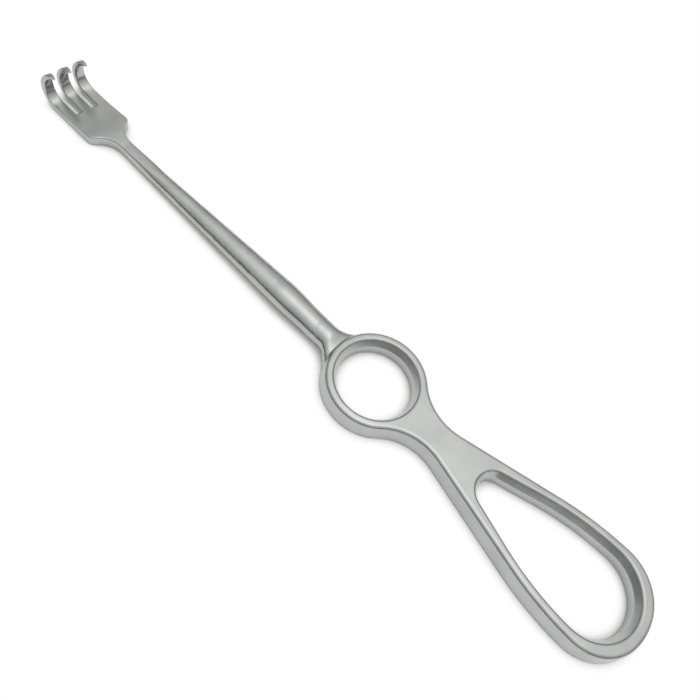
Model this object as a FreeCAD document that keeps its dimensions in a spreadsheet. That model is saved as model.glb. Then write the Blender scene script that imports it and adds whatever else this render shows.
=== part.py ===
import FreeCAD, Part
import math
import os

import Sketcher
from FreeCAD import Placement, Rotation, Vector

NODE = "retractor"

doc = FreeCAD.newDocument(NODE)
sheet = doc.addObject("Spreadsheet::Sheet", "Sizes")
rows = []


def size(alias, value):
    """Write one driving size into the next row of the sheet."""
    rows.append(alias)
    cell = "B%d" % len(rows)
    sheet.set("A%d" % len(rows), alias)
    sheet.set(cell, str(value))
    sheet.setAlias(cell, alias)
    return float(value)


# Whole instrument: the ring centre is the origin while it is built
# +X runs to the prongs, +Z up, and the underside lies on Z = 0
overall_length = size("overall_length", 217.0)
grip_reach = size("grip_reach", 88.5)
plate_thickness = size("plate_thickness", 5.6)
wall_draft = size("wall_draft", 0.6)
draft_height = size("draft_height", 4.6)
upper_round = size("upper_round", 1.2)
foot_bevel = size("foot_bevel", 0.35)
opening_draft = size("opening_draft", 1.2)
opening_draft_height = size("opening_draft_height", 2.4)
opening_bevel = size("opening_bevel", 0.3)

# Finger ring
ring_bore_radius = size("ring_bore_radius", 10.45)
ring_outer_radius = size("ring_outer_radius", 14.35)

# Grip: outline of the teardrop and the waist between it and the ring
grip_half_width = size("grip_half_width", 15.2)
grip_end_radius = size("grip_end_radius", 20.0)
grip_corner_radius = size("grip_corner_radius", 14.0)
grip_flank_radius = size("grip_flank_radius", 85.0)
grip_lead_angle = size("grip_lead_angle", 2.51295)
waist_distance = size("waist_distance", 21.5)
waist_half_width = size("waist_half_width", 5.05)

# Opening through the grip
loop_end_wall = size("loop_end_wall", 4.7)
loop_end_radius = size("loop_end_radius", 11.2)
loop_flank_radius = size("loop_flank_radius", 76.0)
loop_lead_angle = size("loop_lead_angle", 4.9444)
loop_tip_distance = size("loop_tip_distance", 36.4)
loop_tip_radius = size("loop_tip_radius", 4.6)

# Shaft: a spindle that flares out of the ring, swells and tapers to the neck
shaft_lift = size("shaft_lift", 0.12)
throat_start = size("throat_start", 10.0)
throat_root_width = size("throat_root_width", 15.8)
throat_root_height = size("throat_root_height", 4.8)
throat_root_fullness = size("throat_root_fullness", 0.8)
crown_start = size("crown_start", 13.0)
crown_distance = size("crown_distance", 17.5)
throat_distance = size("throat_distance", 22.0)
throat_width = size("throat_width", 7.3)
throat_height = size("throat_height", 6.0)
belly_distance = size("belly_distance", 34.0)
belly_width = size("belly_width", 8.1)
belly_height = size("belly_height", 6.4)
neck_width = size("neck_width", 3.6)
neck_height = size("neck_height", 3.1)
neck_squareness = size("neck_squareness", 5.0)
neck_blend = size("neck_blend", 15.0)
neck_seat = size("neck_seat", 0.05)
neck_lap = size("neck_lap", 0.6)

# Blade: neck, flare, shoulders and palm
neck_tongue = size("neck_tongue", 3.0)
tongue_inset = size("tongue_inset", 0.3)
flare_radius = size("flare_radius", 7.0)
flare_angle = size("flare_angle", 55.0)
shoulder_radius = size("shoulder_radius", 2.2)
palm_width = size("palm_width", 13.5)
palm_length = size("palm_length", 8.9)
palm_blend = size("palm_blend", 12.0)
palm_thickness = size("palm_thickness", 1.85)
neck_edge_round = size("neck_edge_round", 0.55)
palm_edge_round = size("palm_edge_round", 0.25)

# Prongs: three tapering hooks with a slot between each two
slot_width = size("slot_width", 2.0)
slot_straight = size("slot_straight", 5.6)
hook_radius = size("hook_radius", 4.95)
hook_angle = size("hook_angle", 177.0)
hook_thinning = size("hook_thinning", 5.0)
hook_narrowing = size("hook_narrowing", 4.6)
tip_width = size("tip_width", 0.36)
tip_thickness = size("tip_thickness", 0.3)
hook_fan = size("hook_fan", 0.05)
hook_edge_round = size("hook_edge_round", 0.4)
hook_round_angle = size("hook_round_angle", 59.0)

doc.recompute()


def worth(expression):
    """Number that an expression of the sheet's sizes gives."""
    value = sheet.evalExpression(expression)
    return float(getattr(value, "Value", value))


# Distances from the ring centre that follow from the sizes
HOOK_THINNED = "(1 - (90 / Sizes.hook_angle) ^ Sizes.hook_thinning)"
HOOK_SIDE = "(Sizes.tip_thickness + (Sizes.palm_thickness - Sizes.tip_thickness) * %s)" % HOOK_THINNED
HOOK_DISTANCE = "(Sizes.overall_length - Sizes.grip_reach - Sizes.hook_radius - %s / 2)" % HOOK_SIDE
SLOT_ROOT = "(%s - Sizes.slot_straight)" % HOOK_DISTANCE
HEEL_DISTANCE = "(%s - Sizes.palm_length)" % SLOT_ROOT
PRONG_WIDTH = "((Sizes.palm_width - 2 * Sizes.slot_width) / 3)"
FLARE_TURN = "(Sizes.flare_angle * 1 deg)"
FLARE_BENDS = "(Sizes.flare_radius + Sizes.shoulder_radius)"
FLARE_RISE = "((Sizes.palm_width - Sizes.neck_width) / 2)"
SLANT_RISE = "(%s - %s * (1 - cos(%s)))" % (FLARE_RISE, FLARE_BENDS, FLARE_TURN)
FLARE_RUN = "(%s * sin(%s) + %s / tan(%s))" % (FLARE_BENDS, FLARE_TURN, SLANT_RISE, FLARE_TURN)
NECK_DISTANCE = "(%s - %s)" % (HEEL_DISTANCE, FLARE_RUN)
PALM_DISTANCE = "(%s + Sizes.palm_blend)" % HEEL_DISTANCE

hook_distance = worth(HOOK_DISTANCE)
slot_root = worth(SLOT_ROOT)
heel_distance = worth(HEEL_DISTANCE)
prong_width = worth(PRONG_WIDTH)
flare_run = worth(FLARE_RUN)
neck_distance = worth(NECK_DISTANCE)
palm_distance = worth(PALM_DISTANCE)


def plane(body, role):
    """The origin plane of a body, found by its role."""
    return next(f for f in body.Origin.OriginFeatures if f.Role == role)


def new_sketch(body, name, role="XY_Plane"):
    sketch = body.newObject("Sketcher::SketchObject", name)
    sketch.AttachmentSupport = (plane(body, role), [""])
    sketch.MapMode = "FlatFace"
    return sketch


def turn(angle, length=1.0):
    """A plan vector of the given length at an angle in degrees."""
    return Vector(length * math.cos(math.radians(angle)), length * math.sin(math.radians(angle)), 0)


def heading(vector):
    return math.atan2(vector.y, vector.x)


def add_arc(sketch, centre, start, end, clockwise=True):
    """Draw an arc and give its index with the numbers of its first and last point."""
    circle = Part.Circle(centre, Vector(0, 0, 1), (start - centre).Length)
    first, last = (end, start) if clockwise else (start, end)
    curve = Part.ArcOfCircle(circle, heading(first - centre), heading(last - centre))
    index = sketch.addGeometry(curve, False)
    return (index, 2, 1) if clockwise else (index, 1, 2)


def add_line(sketch, start, end):
    return (sketch.addGeometry(Part.LineSegment(start, end), False), 1, 2)


def join(sketch, kind, one, other):
    """Join the end of one curve to the start of the next, smoothly or at a corner."""
    sketch.addConstraint(Sketcher.Constraint(kind, one[0], one[2], other[0], other[1]))


def hold(sketch, expression, kind, *where):
    """Add a dimension and bind it to the sheet."""
    value = worth(expression)
    if kind == "Angle":
        value = math.radians(value)
    index = sketch.addConstraint(Sketcher.Constraint(kind, *where, value))
    sketch.setExpression("Constraints[%d]" % index, expression)


def on_axis(sketch, curve, point):
    sketch.addConstraint(Sketcher.Constraint("PointOnObject", curve[0], point, -1))


def flank_centre(on_line, angle, radius, inner_centre, inner_radius):
    """Centre of a large arc that runs off a straight flank and into a smaller arc."""
    along = turn(180.0 - angle)
    offset = on_line - turn(90.0 - angle, radius) - inner_centre
    reach = radius - inner_radius
    half = offset.dot(along)
    slide = -half - math.sqrt(half * half - offset.dot(offset) + reach * reach)
    return offset + along * slide + inner_centre


def edges_of(shape, wanted):
    """Names of the edges of a shape that pass a test."""
    return ["Edge%d" % (i + 1) for i, edge in enumerate(shape.Edges) if wanted(edge)]


# Grip plate

grip = doc.addObject("PartDesign::Body", "GripPlate")

WAIST_RADIUS = "((Sizes.waist_distance ^ 2 + Sizes.waist_half_width ^ 2 - Sizes.ring_outer_radius ^ 2)" \
    " / (2 * (Sizes.ring_outer_radius - Sizes.waist_half_width)))"
CORNER_RISE = "(Sizes.grip_half_width - Sizes.grip_corner_radius)"
CORNER_RUN = "sqrt((Sizes.grip_end_radius - Sizes.grip_corner_radius) ^ 2 - %s ^ 2)" % CORNER_RISE


def steeper(run, rise, radii, lead):
    """Expression: slope of the straight line that touches two circles, and a lead on top."""
    return "(asin(%s / hypot(%s; %s)) - atan2(%s; %s) + %s * 1 deg)" % (radii, run, rise, rise, run, lead)


# Each flank leaves the narrow end steeper than a straight tangent by its lead
GRIP_FLANK_TURN = steeper(
    "(Sizes.grip_reach - Sizes.grip_end_radius + %s - Sizes.waist_distance)" % CORNER_RUN,
    "(Sizes.waist_half_width + %s - %s)" % (WAIST_RADIUS, CORNER_RISE),
    "(%s + Sizes.grip_corner_radius)" % WAIST_RADIUS,
    "Sizes.grip_lead_angle")
LOOP_FLANK_TURN = steeper(
    "(Sizes.grip_reach - Sizes.loop_end_wall - Sizes.loop_end_radius"
    " - Sizes.loop_tip_distance - Sizes.loop_tip_radius)",
    "0",
    "(Sizes.loop_end_radius - Sizes.loop_tip_radius)",
    "Sizes.loop_lead_angle")

waist_radius = worth(WAIST_RADIUS)
corner_rise = worth(CORNER_RISE)
corner_run = worth(CORNER_RUN)
grip_flank_turn = worth(GRIP_FLANK_TURN)
loop_flank_turn = worth(LOOP_FLANK_TURN)


def draw_grip(sketch):
    """Half of the outline: end, corner, flank, waist and ring, closed along the axis."""
    origin = Vector(0, 0, 0)
    end_point = Vector(-grip_reach, 0, 0)
    end_centre = end_point + Vector(grip_end_radius, 0, 0)
    corner_centre = end_centre + Vector(-corner_run, corner_rise, 0)
    waist_centre = Vector(-waist_distance, waist_half_width + waist_radius, 0)
    waist_point = waist_centre - turn(90.0 - grip_flank_turn, waist_radius)
    flank = flank_centre(waist_point, grip_flank_turn, grip_flank_radius, corner_centre, grip_corner_radius)
    flank_point = flank + turn(90.0 - grip_flank_turn, grip_flank_radius)
    corner_point = corner_centre + (corner_centre - flank).normalize() * grip_corner_radius
    end_joint = end_centre + (corner_centre - end_centre).normalize() * grip_end_radius
    ring_joint = (waist_centre - origin).normalize() * ring_outer_radius
    ring_point = Vector(ring_outer_radius, 0, 0)

    end_arc = add_arc(sketch, end_centre, end_point, end_joint)
    corner_arc = add_arc(sketch, corner_centre, end_joint, corner_point)
    flank_arc = add_arc(sketch, flank, corner_point, flank_point)
    side = add_line(sketch, flank_point, waist_point)
    waist_arc = add_arc(sketch, waist_centre, waist_point, ring_joint, clockwise=False)
    ring_arc = add_arc(sketch, origin, ring_joint, ring_point)
    axis = add_line(sketch, ring_point, end_point)

    smooth = [end_arc, corner_arc, flank_arc, side, waist_arc, ring_arc]
    for one, other in zip(smooth, smooth[1:]):
        join(sketch, "Tangent", one, other)
    join(sketch, "Coincident", ring_arc, axis)
    join(sketch, "Coincident", axis, end_arc)
    on_axis(sketch, axis, 1)
    on_axis(sketch, axis, 2)
    on_axis(sketch, end_arc, 3)
    sketch.addConstraint(Sketcher.Constraint("Coincident", ring_arc[0], 3, -1, 1))
    hold(sketch, "Sizes.grip_end_radius", "Radius", end_arc[0])
    hold(sketch, "Sizes.grip_corner_radius", "Radius", corner_arc[0])
    hold(sketch, "Sizes.grip_flank_radius", "Radius", flank_arc[0])
    hold(sketch, WAIST_RADIUS, "Radius", waist_arc[0])
    hold(sketch, "Sizes.ring_outer_radius", "Radius", ring_arc[0])
    hold(sketch, "Sizes.grip_reach", "DistanceX", end_arc[0], end_arc[1], -1, 1)
    hold(sketch, "Sizes.waist_distance", "DistanceX", waist_arc[0], 3, -1, 1)
    hold(sketch, CORNER_RISE, "DistanceY", -1, 1, corner_arc[0], 3)
    hold(sketch, "-" + GRIP_FLANK_TURN, "Angle", side[0])


def draw_loop(sketch):
    """Half of the teardrop opening: end, flank and narrow tip, closed along the axis."""
    end_point = Vector(loop_end_wall - grip_reach, 0, 0)
    end_centre = end_point + Vector(loop_end_radius, 0, 0)
    tip_point = Vector(-loop_tip_distance, 0, 0)
    tip_centre = tip_point - Vector(loop_tip_radius, 0, 0)
    tip_joint = tip_centre + turn(90.0 - loop_flank_turn, loop_tip_radius)
    flank = flank_centre(tip_joint, loop_flank_turn, loop_flank_radius, end_centre, loop_end_radius)
    flank_point = flank + turn(90.0 - loop_flank_turn, loop_flank_radius)
    end_joint = end_centre + (end_centre - flank).normalize() * loop_end_radius

    end_arc = add_arc(sketch, end_centre, end_point, end_joint)
    flank_arc = add_arc(sketch, flank, end_joint, flank_point)
    side = add_line(sketch, flank_point, tip_joint)
    tip_arc = add_arc(sketch, tip_centre, tip_joint, tip_point)
    axis = add_line(sketch, tip_point, end_point)

    smooth = [end_arc, flank_arc, side, tip_arc]
    for one, other in zip(smooth, smooth[1:]):
        join(sketch, "Tangent", one, other)
    join(sketch, "Coincident", tip_arc, axis)
    join(sketch, "Coincident", axis, end_arc)
    on_axis(sketch, axis, 1)
    on_axis(sketch, axis, 2)
    on_axis(sketch, end_arc, 3)
    on_axis(sketch, tip_arc, 3)
    hold(sketch, "Sizes.loop_end_radius", "Radius", end_arc[0])
    hold(sketch, "Sizes.loop_flank_radius", "Radius", flank_arc[0])
    hold(sketch, "Sizes.loop_tip_radius", "Radius", tip_arc[0])
    hold(sketch, "Sizes.grip_reach - Sizes.loop_end_wall", "DistanceX", end_arc[0], end_arc[1], -1, 1)
    hold(sketch, "Sizes.loop_tip_distance", "DistanceX", tip_arc[0], tip_arc[2], -1, 1)
    hold(sketch, "-" + LOOP_FLANK_TURN, "Angle", side[0])


def cut_up(body, sketch, name):
    """Pocket that runs up from the underside through the whole plate."""
    pocket = body.newObject("PartDesign::Pocket", name)
    pocket.Profile = sketch
    pocket.Type = "ThroughAll"
    pocket.Reversed = True
    return pocket


grip_sketch = new_sketch(grip, "GripOutline")
draw_grip(grip_sketch)
grip_pad = grip.newObject("PartDesign::Pad", "GripPad")
grip_pad.Profile = grip_sketch
grip_pad.setExpression("Length", "Sizes.plate_thickness")

loop_sketch = new_sketch(grip, "LoopOutline")
draw_loop(loop_sketch)
loop_pocket = cut_up(grip, loop_sketch, "LoopPocket")
doc.recompute()

grip_mirror = grip.newObject("PartDesign::Mirrored", "GripMirror")
grip_mirror.Originals = [grip_pad, loop_pocket]
grip_mirror.MirrorPlane = (plane(grip, "XZ_Plane"), [""])
grip.Tip = grip_mirror
doc.recompute()

bore_sketch = new_sketch(grip, "BoreOutline")
bore = bore_sketch.addGeometry(Part.Circle(Vector(0, 0, 0), Vector(0, 0, 1), ring_bore_radius), False)
bore_sketch.addConstraint(Sketcher.Constraint("Coincident", bore, 3, -1, 1))
hold(bore_sketch, "Sizes.ring_bore_radius", "Radius", bore)
bore_pocket = cut_up(grip, bore_sketch, "BorePocket")
doc.recompute()


def rim_edges(shape, outer, level):
    """Edges of the plate at a height: those of its outline, or those of its openings."""
    rims = []
    for face in shape.Faces:
        if face.BoundBox.ZLength < 1e-6 and abs(face.BoundBox.ZMin - level) < 1e-6:
            for wire in face.Wires:
                if wire.isSame(face.OuterWire) == outer:
                    rims.extend(wire.Edges)
    return edges_of(shape, lambda edge: any(edge.isSame(rim) for rim in rims))


def draft(name, base, outer, inward, downward):
    """Drafted wall: it leans in over the upper part of the plate's edge."""
    slope = grip.newObject("PartDesign::Chamfer", name)
    slope.Base = (base, rim_edges(base.Shape, outer, plate_thickness))
    slope.ChamferType = "Two distances"
    slope.setExpression("Size", inward)
    slope.setExpression("Size2", downward)
    doc.recompute()
    return slope


def bevel(name, base, outer, level, width):
    """Small bevel of one rim, along the outline or round the openings."""
    slope = grip.newObject("PartDesign::Chamfer", name)
    slope.Base = (base, rim_edges(base.Shape, outer, level))
    slope.setExpression("Size", width)
    doc.recompute()
    return slope


opening_slope = draft("OpeningDraft", bore_pocket, False, "Sizes.opening_draft", "Sizes.opening_draft_height")
outline_slope = draft("OutlineDraft", opening_slope, True, "Sizes.wall_draft", "Sizes.draft_height")
opening_foot = bevel("OpeningFoot", outline_slope, False, 0.0, "Sizes.foot_bevel")
outline_foot = bevel("OutlineFoot", opening_foot, True, 0.0, "Sizes.foot_bevel")
opening_edge = bevel("OpeningEdge", outline_foot, False, plate_thickness, "Sizes.opening_bevel")

outline_edge = grip.newObject("PartDesign::Fillet", "OutlineRound")
outline_edge.Base = (opening_edge, rim_edges(opening_edge.Shape, True, plate_thickness))
outline_edge.setExpression("Radius", "Sizes.upper_round")
doc.recompute()

# Shaft


SECTION_POINTS = 16


def share_of(distance, start, end):
    """How far a distance lies between two others, from 0 to 1."""
    return min(1.0, max(0.0, (distance - start) / (end - start)))


def ease(start, end, share):
    """Value that leaves the start and reaches the end with no slope."""
    return start + (end - start) * (1.0 - math.cos(math.pi * share)) / 2.0


def oval(centre, width, height, squareness):
    """Closed upright section between an ellipse and a box."""
    points = []
    for step in range(SECTION_POINTS):
        angle = 2.0 * math.pi * step / SECTION_POINTS
        side = math.cos(angle)
        rise = math.sin(angle)
        fullness = (abs(side) ** squareness + abs(rise) ** squareness) ** (-1.0 / squareness)
        points.append(centre + Vector(0, side * width, rise * height) * (fullness / 2.0))
    curve = Part.BSplineCurve()
    curve.interpolate(Points=points, Parameters=list(range(SECTION_POINTS + 1)), PeriodicFlag=True)
    return Part.Wire(curve.toShape())


def ellipse(centre, width, height):
    """Closed upright ellipse that is wider than it is high."""
    side = centre + Vector(0, width / 2.0, 0)
    crest = centre + Vector(0, 0, height / 2.0)
    return Part.Wire(Part.Ellipse(side, crest, centre).toShape())


def shaft_size(distance):
    """Width and height of the spindle: straight throat, swelling belly and even taper."""
    if distance < throat_distance:
        return throat_width, throat_height
    if distance < belly_distance:
        share = share_of(distance, throat_distance, belly_distance)
        return ease(throat_width, belly_width, share), ease(throat_height, belly_height, share)
    share = (distance - belly_distance) / (neck_distance - belly_distance)
    width = belly_width + (neck_width - belly_width) * share
    return width, belly_height + (neck_height - belly_height) * share


def root_section(distance):
    """Section of the throat: it flares in plan and drops towards the ring."""
    spread_out = ease(1.0, 0.0, share_of(distance, throat_start, crown_distance))
    climb = share_of(distance, crown_start, crown_distance)
    width = throat_width + (throat_root_width - throat_width) * spread_out
    height = ease(throat_root_height, throat_height, climb)
    squareness = 2.0 + throat_root_fullness * spread_out
    return oval(Vector(distance, 0, shaft_lift + height / 2.0), width, height, squareness)


def body_section(distance):
    width, height = shaft_size(distance)
    return ellipse(Vector(distance, 0, shaft_lift + height / 2.0), width, height)


def neck_section(distance):
    """Section near the blade: the ellipse turns into the box of the blade's neck."""
    width, height = shaft_size(distance)
    squaring = share_of(distance, neck_start, neck_distance)
    seat = neck_seat * squaring
    centre = Vector(distance, 0, shaft_lift + height / 2.0)
    return oval(centre, width - 2.0 * seat, height - 2.0 * seat, 2.0 + (neck_squareness - 2.0) * squaring)


def skin(sections, ruled=False):
    return Part.makeLoft(sections, True, ruled, False)


def spread(start, end, count):
    """Evenly spaced values from the start to the end."""
    return [start + (end - start) * step / (count - 1.0) for step in range(count)]


ROOT_STATIONS = 10
BELLY_STATIONS = 5
NECK_STATIONS = 5

shaft_root = ring_bore_radius + opening_draft
neck_start = neck_distance - neck_blend
root_stations = spread(shaft_root, throat_distance, ROOT_STATIONS)
body_stations = spread(throat_distance, belly_distance, BELLY_STATIONS) + [neck_start]
neck_stations = spread(neck_start, neck_distance, NECK_STATIONS) + [neck_distance + neck_lap]

root_sections = [root_section(distance) for distance in root_stations[:-1]] + [body_section(throat_distance)]
body_sections = [body_section(distance) for distance in body_stations]
neck_sections = [body_section(neck_start)] + [neck_section(distance) for distance in neck_stations[1:]]

lengths = []
stretches = (("ShaftRoot", root_sections), ("ShaftBody", body_sections), ("ShaftNeck", neck_sections))
for name, sections in stretches:
    length = doc.addObject("Part::Feature", name)
    length.Shape = skin(sections, sections is body_sections)
    lengths.append(length)

# Blade


def draw_plan(sketch):
    """Half of the blade in plan, closed along the axis: neck, flare, shoulder and side."""
    neck_half = neck_width / 2.0
    tongue_point = Vector(neck_distance - neck_tongue, 0, 0)
    tongue_corner = tongue_point + Vector(0, neck_half - tongue_inset, 0)
    neck_point = Vector(neck_distance, neck_half, 0)
    flare_centre = neck_point + Vector(0, flare_radius, 0)
    flare_point = flare_centre + turn(flare_angle - 90.0, flare_radius)
    heel_point = Vector(heel_distance, palm_width / 2.0, 0)
    heel_centre = heel_point - Vector(0, shoulder_radius, 0)
    slant_point = heel_centre + turn(flare_angle + 90.0, shoulder_radius)
    toe_corner = Vector(hook_distance, palm_width / 2.0, 0)
    toe_point = Vector(hook_distance, 0, 0)

    back = add_line(sketch, tongue_point, tongue_corner)
    tongue = add_line(sketch, tongue_corner, neck_point)
    flare = add_arc(sketch, flare_centre, neck_point, flare_point, clockwise=False)
    slant = add_line(sketch, flare_point, slant_point)
    shoulder = add_arc(sketch, heel_centre, slant_point, heel_point)
    side = add_line(sketch, heel_point, toe_corner)
    toe = add_line(sketch, toe_corner, toe_point)
    axis = add_line(sketch, toe_point, tongue_point)
    for one, other in ((back, tongue), (tongue, flare), (side, toe), (toe, axis), (axis, back)):
        join(sketch, "Coincident", one, other)
    for one, other in ((flare, slant), (slant, shoulder), (shoulder, side)):
        join(sketch, "Tangent", one, other)
    on_axis(sketch, axis, 1)
    on_axis(sketch, axis, 2)
    for upright in (back, toe):
        sketch.addConstraint(Sketcher.Constraint("Vertical", upright[0]))
    sketch.addConstraint(Sketcher.Constraint("Horizontal", side[0]))
    sketch.addConstraint(Sketcher.Constraint("Vertical", flare[0], 3, flare[0], flare[1]))
    hold(sketch, "Sizes.flare_radius", "Radius", flare[0])
    hold(sketch, "Sizes.shoulder_radius", "Radius", shoulder[0])
    hold(sketch, "Sizes.flare_angle", "Angle", slant[0])
    hold(sketch, "Sizes.neck_tongue", "DistanceX", tongue[0], tongue[1], tongue[0], tongue[2])
    hold(sketch, "Sizes.neck_width / 2 - Sizes.tongue_inset", "DistanceY", -1, 1, tongue[0], tongue[1])
    hold(sketch, "Sizes.neck_width / 2", "DistanceY", -1, 1, tongue[0], tongue[2])
    hold(sketch, "Sizes.palm_width / 2", "DistanceY", -1, 1, side[0], side[2])
    hold(sketch, HEEL_DISTANCE, "DistanceX", -1, 1, side[0], side[1])
    hold(sketch, HOOK_DISTANCE, "DistanceX", -1, 1, toe[0], toe[2])


def draw_slot(sketch):
    """Slot between the middle prong and an outer one, open at the toe."""
    near = prong_width / 2.0
    far = near + slot_width
    corners = [Vector(slot_root, near, 0), Vector(slot_root, far, 0)]
    corners += [Vector(hook_distance, far, 0), Vector(hook_distance, near, 0)]
    sides = [add_line(sketch, one, other) for one, other in zip(corners, corners[1:] + corners[:1])]
    for one, other in zip(sides, sides[1:] + sides[:1]):
        join(sketch, "Coincident", one, other)
    for upright in sides[0::2]:
        sketch.addConstraint(Sketcher.Constraint("Vertical", upright[0]))
    for level in sides[1::2]:
        sketch.addConstraint(Sketcher.Constraint("Horizontal", level[0]))
    hold(sketch, SLOT_ROOT, "DistanceX", -1, 1, sides[0][0], 1)
    hold(sketch, "Sizes.slot_straight", "DistanceX", sides[1][0], 1, sides[1][0], 2)
    hold(sketch, PRONG_WIDTH + " / 2", "DistanceY", -1, 1, sides[0][0], 1)
    hold(sketch, "Sizes.slot_width", "DistanceY", sides[0][0], 1, sides[0][0], 2)


def draw_side(sketch):
    """Blade from the side: the neck drops in an S-curve to a thin palm that lies flat."""
    top = shaft_lift + neck_height
    drop = top - palm_thickness
    fall = ((palm_distance - neck_distance) ** 2 + drop ** 2) / (4.0 * drop)
    tongue_back = neck_distance - neck_tongue
    neck_top = Vector(neck_distance, top, 0)
    palm_top = Vector(palm_distance, palm_thickness, 0)
    corners = [palm_top, Vector(hook_distance, palm_thickness, 0), Vector(hook_distance, 0, 0)]
    corners += [Vector(heel_distance - flare_run / 2.0, 0, 0), Vector(neck_distance, shaft_lift, 0)]
    corners += [Vector(tongue_back, shaft_lift + tongue_inset, 0)]
    corners += [Vector(tongue_back, top - tongue_inset, 0), neck_top]
    middle = (neck_top + palm_top) * 0.5
    crown = add_arc(sketch, neck_top - Vector(0, fall, 0), neck_top, middle)
    hollow = add_arc(sketch, palm_top + Vector(0, fall, 0), middle, palm_top, clockwise=False)
    lines = [add_line(sketch, one, other) for one, other in zip(corners, corners[1:])]
    edges = [crown, hollow] + lines
    join(sketch, "Tangent", crown, hollow)
    sketch.addConstraint(Sketcher.Constraint("Equal", crown[0], hollow[0]))
    for one, other in zip(edges[1:], edges[2:] + edges[:1]):
        join(sketch, "Coincident", one, other)
    palm, toe, sole, rise, under, back, over = lines
    for upright in (toe, back):
        sketch.addConstraint(Sketcher.Constraint("Vertical", upright[0]))
    on_axis(sketch, sole, 1)
    on_axis(sketch, sole, 2)
    sketch.addConstraint(Sketcher.Constraint("Vertical", crown[0], 3, crown[0], crown[1]))
    sketch.addConstraint(Sketcher.Constraint("Vertical", hollow[0], 3, hollow[0], hollow[2]))
    hold(sketch, NECK_DISTANCE, "DistanceX", -1, 1, crown[0], crown[1])
    hold(sketch, "Sizes.shaft_lift + Sizes.neck_height", "DistanceY", -1, 1, crown[0], crown[1])
    sketch.addConstraint(Sketcher.Constraint("Horizontal", palm[0]))
    hold(sketch, PALM_DISTANCE, "DistanceX", -1, 1, palm[0], 1)
    hold(sketch, HOOK_DISTANCE, "DistanceX", -1, 1, palm[0], 2)
    hold(sketch, "Sizes.palm_thickness", "DistanceY", -1, 1, palm[0], 2)
    hold(sketch, FLARE_RUN + " / 2 + Sizes.palm_blend", "DistanceX", rise[0], 1, palm[0], 1)
    hold(sketch, NECK_DISTANCE, "DistanceX", -1, 1, rise[0], 2)
    hold(sketch, "Sizes.shaft_lift", "DistanceY", -1, 1, rise[0], 2)
    hold(sketch, "Sizes.neck_tongue", "DistanceX", back[0], 1, rise[0], 2)
    hold(sketch, "Sizes.tongue_inset", "DistanceY", rise[0], 2, back[0], 1)
    hold(sketch, "Sizes.tongue_inset", "DistanceY", back[0], 2, crown[0], crown[1])


blade_plan = doc.addObject("PartDesign::Body", "BladePlan")
plan_sketch = new_sketch(blade_plan, "PlanOutline")
draw_plan(plan_sketch)
plan_pad = blade_plan.newObject("PartDesign::Pad", "PlanPad")
plan_pad.Profile = plan_sketch
plan_pad.setExpression("Length", "Sizes.shaft_lift + Sizes.neck_height")
slot_sketch = new_sketch(blade_plan, "SlotOutline")
draw_slot(slot_sketch)
slot_pocket = cut_up(blade_plan, slot_sketch, "SlotPocket")
doc.recompute()
plan_mirror = blade_plan.newObject("PartDesign::Mirrored", "PlanMirror")
plan_mirror.Originals = [plan_pad, slot_pocket]
plan_mirror.MirrorPlane = (plane(blade_plan, "XZ_Plane"), [""])
blade_plan.Tip = plan_mirror

blade_side = doc.addObject("PartDesign::Body", "BladeSide")
side_sketch = new_sketch(blade_side, "SideOutline", "XZ_Plane")
draw_side(side_sketch)
side_pad = blade_side.newObject("PartDesign::Pad", "SidePad")
side_pad.Profile = side_sketch
side_pad.Midplane = True
side_pad.setExpression("Length", "Sizes.palm_width * 2")
doc.recompute()

blade = doc.addObject("Part::MultiCommon", "Blade")
blade.Shapes = [blade_plan, blade_side]
blade.Refine = True
doc.recompute()


def blade_radii(edge):
    """Rounding at the two ends of a blade edge: it fades from the neck to the palm."""
    ends = []
    for parameter in edge.ParameterRange:
        share = (edge.valueAt(parameter).x - neck_distance) / flare_run
        share = min(max(share, 0.0), 1.0)
        ends.append(neck_edge_round + (palm_edge_round - neck_edge_round) * share)
    return ends


def is_blade_edge(edge):
    """Long edges beside the blade and the slots, above and below."""
    middle = edge.valueAt(sum(edge.ParameterRange) / 2.0)
    return edge.BoundBox.XLength > tongue_inset and abs(middle.y) > neck_width / 4.0


def rounded_edges(shape, names, radii):
    """Fillet list: the number of each edge with the radius at its two ends."""
    numbers = [int(name[len("Edge"):]) for name in names]
    return [(number, *radii(shape.Edges[number - 1])) for number in numbers]


blade_fillet = doc.addObject("Part::Fillet", "BladeRound")
blade_fillet.Base = blade
blade_fillet.Edges = rounded_edges(blade.Shape, edges_of(blade.Shape, is_blade_edge), blade_radii)
doc.recompute()

# Prongs

FULLEST_ROUND = 0.4


def rounded_box(centre, across, up, rounding):
    """Closed section with four straight sides and four round corners."""
    edges = []
    for out, over in ((across, up), (up, -across), (-across, -up), (-up, across)):
        ahead = over * (1.0 / over.Length)
        outward = out * (1.0 / out.Length)
        reach = over.Length - rounding
        bend = centre + out + over - (outward + ahead) * rounding
        start = centre + out - ahead * reach
        turn_in = centre + out + ahead * reach
        turn_out = centre + over + outward * (out.Length - rounding)
        edges.append(Part.makeLine(start, turn_in))
        crest = bend + (outward + ahead) * (rounding / math.sqrt(2.0))
        edges.append(Part.Arc(turn_in, crest, turn_out).toShape())
    return Part.Wire(edges)


def tapered(root, tip, share, power):
    """Size that holds near the root and falls away towards the tip."""
    return root + (tip - root) * share ** power


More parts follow.
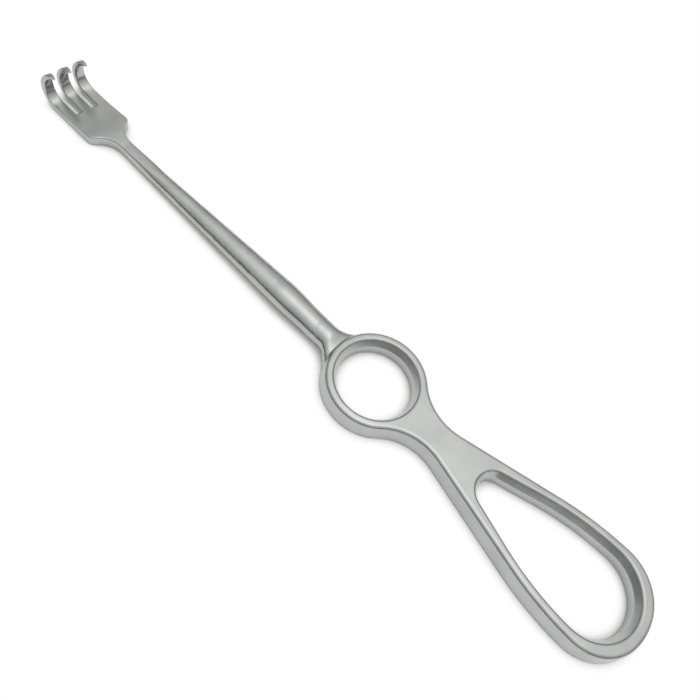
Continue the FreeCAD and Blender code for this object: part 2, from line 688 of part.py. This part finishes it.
def hook_section(angle, side):
    """Section of a prong where its hook has turned by an angle."""
    share = angle / hook_angle
    rounded = min(1.0, angle / hook_round_angle)
    thickness = tapered(palm_thickness, tip_thickness, share, hook_thinning)
    width = tapered(prong_width, tip_width, share, hook_narrowing)
    rounding = palm_edge_round + (hook_edge_round - palm_edge_round) * rounded
    rounding = min(rounding, FULLEST_ROUND * thickness, FULLEST_ROUND * width)
    lean = math.radians(angle)
    outward = Vector(math.sin(lean), 0, -math.cos(lean))
    fan = side * (prong_width + slot_width + hook_fan * share ** 2)
    centre = Vector(hook_distance, fan, hook_radius + palm_thickness / 2.0) + outward * hook_radius
    return rounded_box(centre, Vector(0, width / 2.0, 0), outward * (-thickness / 2.0), rounding)


HOOK_STATIONS = 6
hook_turns = spread(0.0, 90.0, HOOK_STATIONS) + spread(90.0, hook_angle, HOOK_STATIONS + 1)[1:]
prongs = []
for name, side in (("ProngLeft", 1), ("ProngMiddle", 0), ("ProngRight", -1)):
    prong = doc.addObject("Part::Feature", name)
    prong.Shape = skin([hook_section(angle, side) for angle in hook_turns], True)
    prongs.append(prong)

# One forged piece

shaft = doc.addObject("Part::MultiFuse", "Shaft")
shaft.Shapes = lengths
handle = doc.addObject("Part::MultiFuse", "Handle")
handle.Shapes = [grip, shaft]
head = doc.addObject("Part::MultiFuse", "Head")
head.Shapes = [blade_fillet] + prongs
doc.recompute()

retractor = doc.addObject("Part::MultiFuse", "Retractor")
retractor.Label = NODE
retractor.Shapes = [handle, head]
retractor.setExpression(".Placement.Base.x", "Sizes.grip_reach - Sizes.overall_length / 2")
doc.recompute()

failed = [thing.Name for thing in doc.Objects if "Invalid" in thing.State or "Error" in thing.State]
if failed:
    raise RuntimeError("failed objects: %s" % ", ".join(failed))
if retractor.Shape.isNull() or not retractor.Shape.isValid():
    raise RuntimeError("the fused shape is not sound")
KEPT_RATIO = 0.9
for whole, pieces in ((handle, [grip, shaft]), (head, [blade_fillet] + prongs), (retractor, [handle, head])):
    if whole.Shape.Volume < KEPT_RATIO * sum(piece.Shape.Volume for piece in pieces):
        raise RuntimeError("a piece is lost in %s" % whole.Name)
if len(retractor.Shape.Solids) != 1:
    raise RuntimeError("the instrument is in %d pieces" % len(retractor.Shape.Solids))

os.makedirs("parts", exist_ok=True)
retractor.Shape.exportStep("parts/%s.step" % retractor.Label)
box = retractor.Shape.BoundBox
print("size", round(box.XLength, 3), round(box.YLength, 3), round(box.ZLength, 3))
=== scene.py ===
import bpy
from mathutils import Matrix, Vector

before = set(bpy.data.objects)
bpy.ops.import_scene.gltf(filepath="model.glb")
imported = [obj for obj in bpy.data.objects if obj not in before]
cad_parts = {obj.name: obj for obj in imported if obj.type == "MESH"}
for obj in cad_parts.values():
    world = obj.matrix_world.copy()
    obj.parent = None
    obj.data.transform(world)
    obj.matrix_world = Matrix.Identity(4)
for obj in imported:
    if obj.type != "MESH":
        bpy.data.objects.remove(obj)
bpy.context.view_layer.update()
scene = bpy.context.scene

# Lengths are in metres, apart from the camera's sensor and lens in millimetres

# Camera: the photograph's viewpoint
CAMERA_PLACE = Vector((-0.04093, 0.08528, 0.15540))
CAMERA_RIGHT = Vector((-0.71159412, -0.66362519, 0.23072803))
CAMERA_UP = Vector((0.6794603, -0.56643167, 0.46635701))
CAMERA_BACK = Vector((-0.17879459, 0.48862744, 0.85397642))
SENSOR_WIDTH = 36.0
LENS = 34.637
CLIP_START = 0.005
CLIP_END = 50.0

# Sky: brightness of a direction against its dot product with SKY_AXIS
# A brightness of 1 renders a colour about as it is written
SKY_AXIS = (0.0, -0.10, 0.995)
SKY_RANGE = (-0.20, 1.00)
SKY_LEVELS = (
    (-0.20, 0.15),
    (0.15, 0.14),
    (0.26, 0.30),
    (0.42, 0.60),
    (0.60, 0.68),
    (0.70, 0.76),
    (0.80, 0.96),
    (0.88, 1.02),
    (0.92, 1.24),
    (1.00, 1.80))
SKY_TINT = (1.0, 1.01, 0.965)

# Floor: white, and its own lit tone far away; close to the instrument ambient occlusion takes the
# white away, a painted shadow over its lit tone
FLOOR_REACH = 3.0
FLOOR_TONE = 0.88
# Reach, samples and range of the ambient occlusion that paints the contact shadow
PAINTED_SHADOW_REACH = 0.004
PAINTED_SHADOW_SAMPLES = 8
PAINTED_SHADOW_RANGE = (0.45, 0.80)
WHITE_EDGE = (0.35, 1.2)

# Steel: its mean colour, how far the colour wanders and the patterns of its finish
STEEL_TONE = (0.470, 0.482, 0.482)
DARKER = 0.93
LIGHTER = 1.05
GRAIN = {"scale": 6500.0, "detail": 2.0}
BRUSHING = {"scale": 2200.0, "detail": 3.0, "stretch": (0.06, 1.0, 1.0)}
CLOUDING = {"scale": 160.0, "detail": 3.0}
NOISE_RANGE = (0.3, 0.7)
TONE_SHARES = (0.85, 0.15)
TONE_RANGE = (0.35, 0.65)
CLOUD_ROUGHNESS = (0.22, 0.27)
BRUSH_ROUGHNESS = (-0.005, 0.01)
RELIEF_SHARES = (0.15, 0.4)
RELIEF_STRENGTH = 0.35
RELIEF_DEPTH = 0.000006

# Edges: how far their wear reaches, and the angle in radians above which they stay crisp
EDGE_WEAR = 0.0005
EDGE_SAMPLES = 16
SEAM_GAP = 0.0000001
CREASE_ANGLE = 0.42

FULL_RANGE = (0.0, 1.0)
FALLING = (1.0, 0.0)


def new_tree(owner):
    """Empty node tree of a material or world."""
    owner.use_nodes = True
    owner.node_tree.nodes.clear()
    return owner.node_tree


def add_node(tree, kind, **settings):
    node = tree.nodes.new(kind)
    for name, value in settings.items():
        setattr(node, name, value)
    return node


def link(tree, source, target):
    tree.links.new(source, target)


def opaque(colour):
    return tuple(colour) + (1.0,)


def scaled(colour, factor):
    return tuple(channel * factor for channel in colour)


def math_node(tree, operation, first, second):
    """Arithmetic on two values, each a socket or a number."""
    node = add_node(tree, "ShaderNodeMath", operation=operation)
    for socket, value in zip(node.inputs, (first, second)):
        if isinstance(value, float):
            socket.default_value = value
        else:
            link(tree, value, socket)
    return node.outputs[0]


def blend(tree, sources, shares):
    """Sum of two patterns, each by its share."""
    parts = [math_node(tree, "MULTIPLY", source, share) for source, share in zip(sources, shares)]
    return math_node(tree, "ADD", *parts)


def remap(tree, source, before, after):
    """Carry a value from one range over to another."""
    node = add_node(tree, "ShaderNodeMapRange")
    link(tree, source, node.inputs["Value"])
    limits = ("From Min", "From Max", "To Min", "To Max")
    for name, limit in zip(limits, before + after):
        node.inputs[name].default_value = limit
    return node.outputs["Result"]


def noise(tree, coordinates, scale, detail, stretch=(1.0, 1.0, 1.0)):
    mapping = add_node(tree, "ShaderNodeMapping")
    mapping.inputs["Scale"].default_value = stretch
    link(tree, coordinates, mapping.inputs["Vector"])
    texture = add_node(tree, "ShaderNodeTexNoise")
    texture.inputs["Scale"].default_value = scale
    texture.inputs["Detail"].default_value = detail
    link(tree, mapping.outputs["Vector"], texture.inputs["Vector"])
    return texture.outputs["Fac"]


def place_camera():
    data = bpy.data.cameras.new("camera")
    data.sensor_width = SENSOR_WIDTH
    data.lens = LENS
    data.clip_start = CLIP_START
    data.clip_end = CLIP_END
    camera = bpy.data.objects.new("camera", data)
    scene.collection.objects.link(camera)
    columns = Matrix((CAMERA_RIGHT, CAMERA_UP, CAMERA_BACK)).transposed()
    camera.matrix_world = Matrix.Translation(CAMERA_PLACE) @ columns.to_4x4()
    scene.camera = camera


def fill_ramp(ramp):
    """Give a colour ramp the sky's levels; it starts with two stops of its own."""
    low, high = SKY_RANGE
    stops = ramp.color_ramp.elements
    own_stops = len(stops)
    for index, (height, level) in enumerate(SKY_LEVELS):
        position = (height - low) / (high - low)
        stop = stops[index] if index < own_stops else stops.new(position)
        stop.position = position
        stop.color = opaque(scaled(SKY_TINT, level))


def light_world():
    """Studio sky: a bright overhead light in a grey tent that is dark near the horizon."""
    world = bpy.data.worlds.new("studio")
    scene.world = world
    tree = new_tree(world)
    coordinates = add_node(tree, "ShaderNodeTexCoord")
    height = add_node(tree, "ShaderNodeVectorMath", operation="DOT_PRODUCT")
    link(tree, coordinates.outputs["Generated"], height.inputs[0])
    height.inputs[1].default_value = SKY_AXIS
    ramp = add_node(tree, "ShaderNodeValToRGB")
    ramp.color_ramp.interpolation = "EASE"
    fill_ramp(ramp)
    link(tree, remap(tree, height.outputs["Value"], SKY_RANGE, FULL_RANGE), ramp.inputs["Fac"])
    background = add_node(tree, "ShaderNodeBackground")
    link(tree, ramp.outputs["Color"], background.inputs["Color"])
    output = add_node(tree, "ShaderNodeOutputWorld")
    link(tree, background.outputs["Background"], output.inputs["Surface"])


def white_share(tree):
    """How white the floor looks: a painted shadow from ambient occlusion fades it under the
    instrument's edge, and it fades far from it.
    """
    path = add_node(tree, "ShaderNodeLightPath")
    seen = math_node(tree, "MAXIMUM", path.outputs["Is Camera Ray"], path.outputs["Is Glossy Ray"])
    seen = math_node(tree, "MAXIMUM", seen, path.outputs["Is Transmission Ray"])
    # Painted shadow: ambient occlusion near the instrument takes the white away, also where the
    # steel reflects the floor
    painted_shadow = add_node(tree, "ShaderNodeAmbientOcclusion", samples=PAINTED_SHADOW_SAMPLES)
    painted_shadow.inputs["Distance"].default_value = PAINTED_SHADOW_REACH
    # Share of the floor left clear of the painted shadow
    clear = remap(tree, painted_shadow.outputs["AO"], PAINTED_SHADOW_RANGE, FULL_RANGE)
    away = add_node(tree, "ShaderNodeVectorMath", operation="LENGTH")
    link(tree, add_node(tree, "ShaderNodeTexCoord").outputs["Object"], away.inputs[0])
    near = remap(tree, away.outputs["Value"], WHITE_EDGE, FALLING)
    return math_node(tree, "MULTIPLY", seen, math_node(tree, "MULTIPLY", clear, near))


def table_white():
    """Pale table top that looks white; near the instrument a painted shadow from ambient occlusion
    uncovers its lit tone, which holds the instrument's real shadow.
    """
    material = bpy.data.materials.new("table_white")
    tree = new_tree(material)
    diffuse = add_node(tree, "ShaderNodeBsdfDiffuse")
    diffuse.inputs["Color"].default_value = opaque((FLOOR_TONE, FLOOR_TONE, FLOOR_TONE))
    white = add_node(tree, "ShaderNodeEmission")
    mixed = add_node(tree, "ShaderNodeMixShader")
    link(tree, white_share(tree), mixed.inputs["Fac"])
    link(tree, diffuse.outputs["BSDF"], mixed.inputs[1])
    link(tree, white.outputs["Emission"], mixed.inputs[2])
    output = add_node(tree, "ShaderNodeOutputMaterial")
    link(tree, mixed.outputs["Shader"], output.inputs["Surface"])
    return material


def lay_floor():
    mesh = bpy.data.meshes.new("floor")
    turns = ((-1, -1), (1, -1), (1, 1), (-1, 1))
    corners = [(across * FLOOR_REACH, along * FLOOR_REACH, 0.0) for across, along in turns]
    mesh.from_pydata(corners, [], [(0, 1, 2, 3)])
    mesh.materials.append(table_white())
    floor = bpy.data.objects.new("floor", mesh)
    scene.collection.objects.link(floor)


def satin_steel():
    """Satin surgical steel: fine grain, faint brushing along the instrument and slow clouding."""
    material = bpy.data.materials.new("satin_steel")
    tree = new_tree(material)
    coordinates = add_node(tree, "ShaderNodeTexCoord").outputs["Object"]
    grain = noise(tree, coordinates, **GRAIN)
    brushing = noise(tree, coordinates, **BRUSHING)
    clouding = noise(tree, coordinates, **CLOUDING)

    shader = add_node(tree, "ShaderNodeBsdfPrincipled")
    shader.inputs["Metallic"].default_value = 1.0
    tone = add_node(tree, "ShaderNodeMix", data_type="RGBA")
    tone.inputs["A"].default_value = opaque(scaled(STEEL_TONE, DARKER))
    tone.inputs["B"].default_value = opaque(scaled(STEEL_TONE, LIGHTER))
    mottle = blend(tree, (clouding, brushing), TONE_SHARES)
    link(tree, remap(tree, mottle, TONE_RANGE, FULL_RANGE), tone.inputs["Factor"])
    link(tree, tone.outputs["Result"], shader.inputs["Base Color"])

    clouded = remap(tree, clouding, NOISE_RANGE, CLOUD_ROUGHNESS)
    brushed = remap(tree, brushing, NOISE_RANGE, BRUSH_ROUGHNESS)
    link(tree, math_node(tree, "ADD", clouded, brushed), shader.inputs["Roughness"])

    worn = add_node(tree, "ShaderNodeBevel", samples=EDGE_SAMPLES)
    worn.inputs["Radius"].default_value = EDGE_WEAR
    bump = add_node(tree, "ShaderNodeBump")
    bump.inputs["Strength"].default_value = RELIEF_STRENGTH
    bump.inputs["Distance"].default_value = RELIEF_DEPTH
    link(tree, blend(tree, (grain, brushing), RELIEF_SHARES), bump.inputs["Height"])
    link(tree, worn.outputs["Normal"], bump.inputs["Normal"])
    link(tree, bump.outputs["Normal"], shader.inputs["Normal"])
    output = add_node(tree, "ShaderNodeOutputMaterial")
    link(tree, shader.outputs["BSDF"], output.inputs["Surface"])
    return material


def crease_nodes():
    """Modifier nodes that shade shallow steps smooth and leave real edges crisp."""
    group = bpy.data.node_groups.new("creases", "GeometryNodeTree")
    for way in ("INPUT", "OUTPUT"):
        group.interface.new_socket("Geometry", in_out=way, socket_type="NodeSocketGeometry")
    start = add_node(group, "NodeGroupInput")
    seam = add_node(group, "GeometryNodeMergeByDistance")
    seam.inputs["Distance"].default_value = SEAM_GAP
    faces = add_node(group, "GeometryNodeSetShadeSmooth", domain="FACE")
    faces.inputs["Shade Smooth"].default_value = True
    edges = add_node(group, "GeometryNodeSetShadeSmooth", domain="EDGE")
    edges.inputs["Shade Smooth"].default_value = False
    angle = add_node(group, "GeometryNodeInputMeshEdgeAngle")
    sharp = add_node(group, "FunctionNodeCompare", data_type="FLOAT", operation="GREATER_THAN")
    sharp.inputs["B"].default_value = CREASE_ANGLE
    end = add_node(group, "NodeGroupOutput")
    link(group, start.outputs[0], seam.inputs["Geometry"])
    link(group, seam.outputs["Geometry"], faces.inputs["Geometry"])
    link(group, faces.outputs["Geometry"], edges.inputs["Geometry"])
    link(group, angle.outputs["Unsigned Angle"], sharp.inputs["A"])
    link(group, sharp.outputs["Result"], edges.inputs["Selection"])
    link(group, edges.outputs["Geometry"], end.inputs[0])
    return group


def dress(node, material):
    """Give a CAD piece its material and even shading; its shape stays."""
    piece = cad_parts[node]
    piece.data.materials.clear()
    piece.data.materials.append(material)
    creases = piece.modifiers.new("creases", "NODES")
    creases.node_group = crease_nodes()
    normals = piece.modifiers.new("even_shading", "WEIGHTED_NORMAL")
    normals.mode = "FACE_AREA"
    normals.keep_sharp = True


place_camera()
light_world()
lay_floor()
dress("retractor", satin_steel())

scene.view_settings.view_transform = "Standard"
